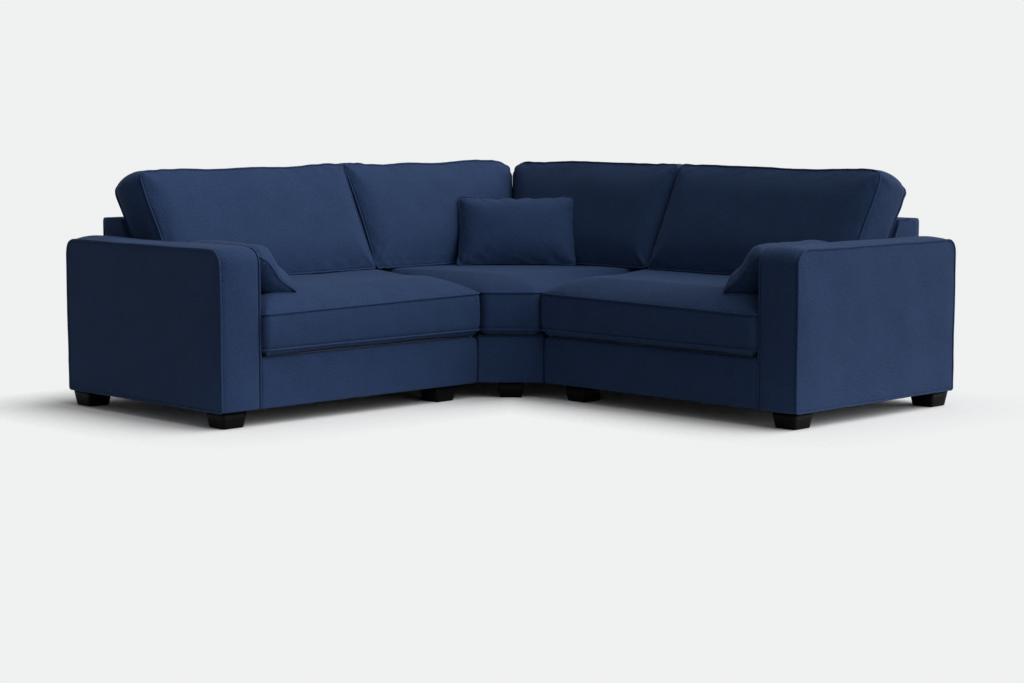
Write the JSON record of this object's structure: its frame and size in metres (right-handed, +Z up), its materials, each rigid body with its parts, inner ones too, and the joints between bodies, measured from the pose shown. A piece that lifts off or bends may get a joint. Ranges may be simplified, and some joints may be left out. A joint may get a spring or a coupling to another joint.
{
  "type": "corner sofa",
  "caption": "Corner sofa with two equal wings, boxed arms, a bevelled corner unit, loose seat, back and scatter cushions, and square tapered feet.",
  "frame": {"origin": "on the floor, at the centre of the square that the two wings span", "axes": "+X along the left wing towards the corner, +Y towards its back, +Z up; the right wing is its mirror image in the plane x = y"},
  "size_m": [2.43, 2.43, 0.9168],
  "materials": {
    "upholstery": "dark navy woven cloth over wadding, matt",
    "cushion_cloth": "dark navy woven cloth, matt",
    "cushion_filling": "foam wrapped in fibre",
    "frame_timber": "plain sawn board",
    "feet": "black lacquer, satin",
    "steel": "bare bright steel",
    "clips": "black moulded plastic",
    "felt": "grey felt",
    "dust_cloth": "black non-woven cloth",
    "webbing": "woven elastic"
  },
  "bodies": {
    "frame": {"left_arm_frame": "frame_timber", "left_arm_outer_panel": "upholstery", "left_arm_inner_panel": "upholstery", "left_arm_border": "upholstery", "left_feet": "feet", "left_foot_blocks": "frame_timber", "left_base_rails": "frame_timber", "left_seat_springs": "steel", "left_deck_felt": "felt", "left_dust_cloth": "dust_cloth", "left_base_cover": "upholstery", "left_back_frame": "frame_timber", "left_back_webbing": "webbing", "left_back_cover": "upholstery", "right_arm_frame": "frame_timber", "right_arm_outer_panel": "upholstery", "right_arm_inner_panel": "upholstery", "right_arm_border": "upholstery", "right_feet": "feet", "right_foot_blocks": "frame_timber", "right_base_rails": "frame_timber", "right_seat_springs": "steel", "right_deck_felt": "felt", "right_dust_cloth": "dust_cloth", "right_base_cover": "upholstery", "right_back_frame": "frame_timber", "right_back_webbing": "webbing", "right_back_cover": "upholstery", "corner_feet": "feet", "corner_foot_blocks": "frame_timber", "corner_base_rails": "frame_timber", "corner_seat_springs": "steel", "corner_deck_felt": "felt", "corner_dust_cloth": "dust_cloth", "corner_base_cover": "upholstery", "corner_back_frame": "frame_timber", "corner_back_webbing": "webbing", "corner_back_cover": "upholstery", "spring_clips": "clips", "foot_bolts": "steel", "foot_tee_nuts": "steel", "link_plates": "steel", "link_screws": "steel"},
    "left_back": {"left_back_cushion": "cushion_cloth", "left_back_cushion_filling": "cushion_filling"},
    "right_back": {"right_back_cushion": "cushion_cloth", "right_back_cushion_filling": "cushion_filling"},
    "left_seat": {"left_seat_cushion": "cushion_cloth", "left_seat_cushion_filling": "cushion_filling"},
    "right_seat": {"right_seat_cushion": "cushion_cloth", "right_seat_cushion_filling": "cushion_filling"},
    "corner_seat": {"corner_seat_cushion": "cushion_cloth", "corner_seat_cushion_filling": "cushion_filling"},
    "left_corner_back": {"left_corner_back_cushion": "cushion_cloth", "left_corner_back_cushion_filling": "cushion_filling"},
    "right_corner_back": {"right_corner_back_cushion": "cushion_cloth", "right_corner_back_cushion_filling": "cushion_filling"},
    "lumbar": {"lumbar_cushion": "cushion_cloth"},
    "left_arm_pillow": {"left_arm_cushion": "cushion_cloth"},
    "right_arm_pillow": {"right_arm_cushion": "cushion_cloth"}
  },
  "joints": [
    {"name": "left_back_lift", "type": "slide", "parent": "frame", "child": "left_back", "axis": [0, 0.4384, 0.8988], "range_m": [0, 0.5]},
    {"name": "right_back_lift", "type": "slide", "parent": "frame", "child": "right_back", "axis": [0.4384, 0, 0.8988], "range_m": [0, 0.5]},
    {"name": "left_seat_pull", "type": "slide", "parent": "frame", "child": "left_seat", "axis": [0, -1, 0], "range_m": [0, 0.15]},
    {"name": "right_seat_pull", "type": "slide", "parent": "frame", "child": "right_seat", "axis": [-1, 0, 0], "range_m": [0, 0.15]},
    {"name": "corner_seat_lift", "type": "slide", "parent": "frame", "child": "corner_seat", "axis": [0, 0, 1], "range_m": [0, 0.4]},
    {"name": "left_corner_back_lift", "type": "slide", "parent": "corner_seat", "child": "left_corner_back", "axis": [0, 0.4384, 0.8988], "range_m": [0, 0.5]},
    {"name": "right_corner_back_lift", "type": "slide", "parent": "corner_seat", "child": "right_corner_back", "axis": [0.4384, 0, 0.8988], "range_m": [0, 0.5]},
    {"name": "lumbar_lift", "type": "slide", "parent": "corner_seat", "child": "lumbar", "axis": [0, 0, 1], "range_m": [0, 0.45]},
    {"name": "left_arm_cushion_lift", "type": "slide", "parent": "left_seat", "child": "left_arm_pillow", "axis": [0, 0, 1], "range_m": [0, 0.45]},
    {"name": "right_arm_cushion_lift", "type": "slide", "parent": "right_seat", "child": "right_arm_pillow", "axis": [0, 0, 1], "range_m": [0, 0.45]}
  ]
}
